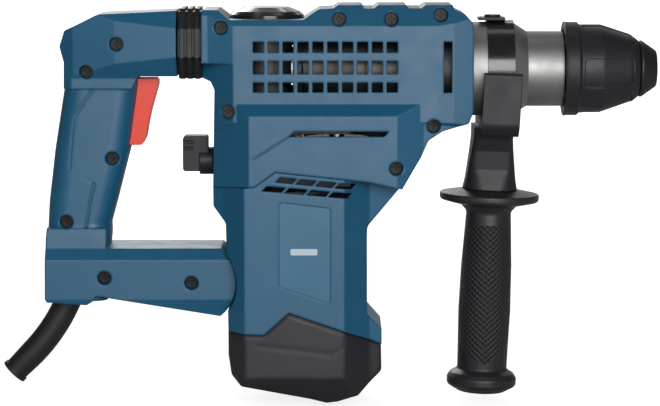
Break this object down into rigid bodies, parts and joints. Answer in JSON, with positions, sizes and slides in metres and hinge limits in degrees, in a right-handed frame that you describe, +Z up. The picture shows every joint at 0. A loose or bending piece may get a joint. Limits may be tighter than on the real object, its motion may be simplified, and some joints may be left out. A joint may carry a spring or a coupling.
{
  "type": "rotary hammer",
  "caption": "Corded L-shaped rotary hammer with vertical motor, D-handle, quick-change chuck and swivelling side grip.",
  "frame": {"origin": "centre of the mouth of the bit socket", "axes": "+X out of the chuck along the bit, +Z up, -Y the operator's right-hand side"},
  "size_m": [0.4204, 0.088, 0.2529],
  "materials": {
    "blue_plastic": "fine textured",
    "black_plastic": "fine textured",
    "gloss_black": "gloss",
    "black_rubber": "matte",
    "red_plastic": "satin",
    "cast_aluminium": "satin cast",
    "steel": "ground",
    "dark_steel": "oiled",
    "copper": "drawn",
    "carbon": "matte",
    "plate_film": "satin"
  },
  "bodies": {
    "housing": {"upper_cover_right": "blue_plastic", "upper_cover_left": "blue_plastic", "cover_screws": "dark_steel", "motor_housing": "blue_plastic", "rating_plate": "plate_film", "end_cap": "black_plastic", "end_cap_screws": "dark_steel", "gear_case": "cast_aluminium", "gear_plate": "cast_aluminium", "grease_cap": "gloss_black", "bellows": "black_rubber", "handle_spring": "steel", "stator": "dark_steel", "air_baffle": "black_plastic", "motor_bearings": "steel", "brush_holders": "copper", "brushes": "carbon", "brush_springs": "steel", "gear_bearings": "steel", "spindle_bearing": "steel", "barrel_seal": "black_rubber"},
    "handle": {"handle_shell_right": "blue_plastic", "handle_shell_left": "blue_plastic", "handle_screws": "dark_steel", "handle_pivot_sleeve": "steel", "trigger_switch": "black_plastic", "cord_guard": "black_rubber", "cord_clamp": "black_plastic", "trigger_spring": "steel"},
    "trigger": {"trigger": "red_plastic"},
    "mode_knob": {"mode_knob": "black_plastic"},
    "armature": {"armature_core": "dark_steel", "armature_windings": "copper", "commutator": "copper", "armature_shaft": "steel", "fan": "black_plastic"},
    "crank": {"crankshaft": "steel", "crank_gear": "steel"},
    "piston": {"piston": "cast_aluminium", "wrist_pin": "steel", "piston_ring": "black_rubber"},
    "rod": {"connecting_rod": "steel"},
    "idler": {"intermediate_shaft": "steel", "intermediate_gear": "steel"},
    "spindle": {"spindle": "dark_steel", "bevel_gear": "steel", "nose_cap": "black_rubber", "lock_balls": "steel", "sleeve_spring": "steel"},
    "striker": {"striker": "steel", "striker_seal": "black_rubber"},
    "impact_bolt": {"impact_bolt": "steel", "impact_bolt_seal": "black_rubber"},
    "chuck_sleeve": {"chuck_sleeve": "black_plastic"},
    "side_handle": {"clamp_band": "gloss_black", "clamp_plate": "black_plastic", "clamp_rivet": "black_plastic", "clamp_yoke": "black_plastic", "clamp_bolt": "steel"},
    "side_grip": {"side_grip": "black_plastic"}
  },
  "joints": [
    {"name": "handle_pivot", "type": "hinge", "parent": "housing", "child": "handle", "pos_m": [-0.2972, 0, -0.1351], "axis": [0, 1, 0], "range_deg": [0, 1.8], "stiffness_Nm_per_rad": 600, "springref_deg": -0.57, "deforming": ["bellows", "handle_spring"]},
    {"name": "trigger_pull", "type": "slide", "parent": "handle", "child": "trigger", "axis": [1, 0, 0], "range_m": [-0.004, 0], "stiffness_N_per_m": 1200, "springref_m": 0.002, "deforming": ["trigger_spring"]},
    {"name": "mode_turn", "type": "hinge", "parent": "housing", "child": "mode_knob", "pos_m": [-0.2886, 0, -0.0592], "axis": [1, 0, 0], "range_deg": [-90, 90]},
    {"name": "armature_spin", "type": "hinge", "parent": "housing", "child": "armature", "pos_m": [-0.2298, 0, -0.12], "axis": [0, 0, 1], "continuous": true},
    {"name": "crank_spin", "type": "hinge", "parent": "housing", "child": "crank", "pos_m": [-0.2493, 0, -0.03], "axis": [0, 0, 1], "continuous": true},
    {"name": "intermediate_spin", "type": "hinge", "parent": "housing", "child": "idler", "pos_m": [-0.2048, 0, -0.05], "axis": [0, 0, 1], "continuous": true},
    {"name": "spindle_spin", "type": "hinge", "parent": "housing", "child": "spindle", "pos_m": [0, 0, 0], "axis": [1, 0, 0], "continuous": true},
    {"name": "piston_slide", "type": "slide", "parent": "housing", "child": "piston", "axis": [1, 0, 0], "range_m": [-0.019, 0]},
    {"name": "rod_swing", "type": "hinge", "parent": "piston", "child": "rod", "pos_m": [-0.2018, 0, 0], "axis": [0, 0, 1], "range_deg": [-14.4, 14.4]},
    {"name": "striker_slide", "type": "slide", "parent": "spindle", "child": "striker", "axis": [1, 0, 0], "range_m": [0, 0.016]},
    {"name": "impact_bolt_slide", "type": "slide", "parent": "spindle", "child": "impact_bolt", "axis": [1, 0, 0], "range_m": [0, 0.006]},
    {"name": "sleeve_slide", "type": "slide", "parent": "spindle", "child": "chuck_sleeve", "axis": [1, 0, 0], "range_m": [-0.006, 0], "stiffness_N_per_m": 900, "springref_m": 0.006, "deforming": ["sleeve_spring"]},
    {"name": "side_handle_swivel", "type": "hinge", "parent": "housing", "child": "side_handle", "pos_m": [-0.1007, 0, 0], "axis": [1, 0, 0], "continuous": true},
    {"name": "grip_turn", "type": "hinge", "parent": "side_handle", "child": "side_grip", "pos_m": [-0.1033, 0, 0], "axis": [-0.0366, 0, -0.9993], "range_deg": [0, 540]}
  ],
  "couplings": [
    {"joint": "crank_spin", "follows": "armature_spin", "ratio": -0.25806},
    {"joint": "intermediate_spin", "follows": "armature_spin", "ratio": -0.19048},
    {"joint": "spindle_spin", "follows": "armature_spin", "ratio": -0.047619}
  ]
}
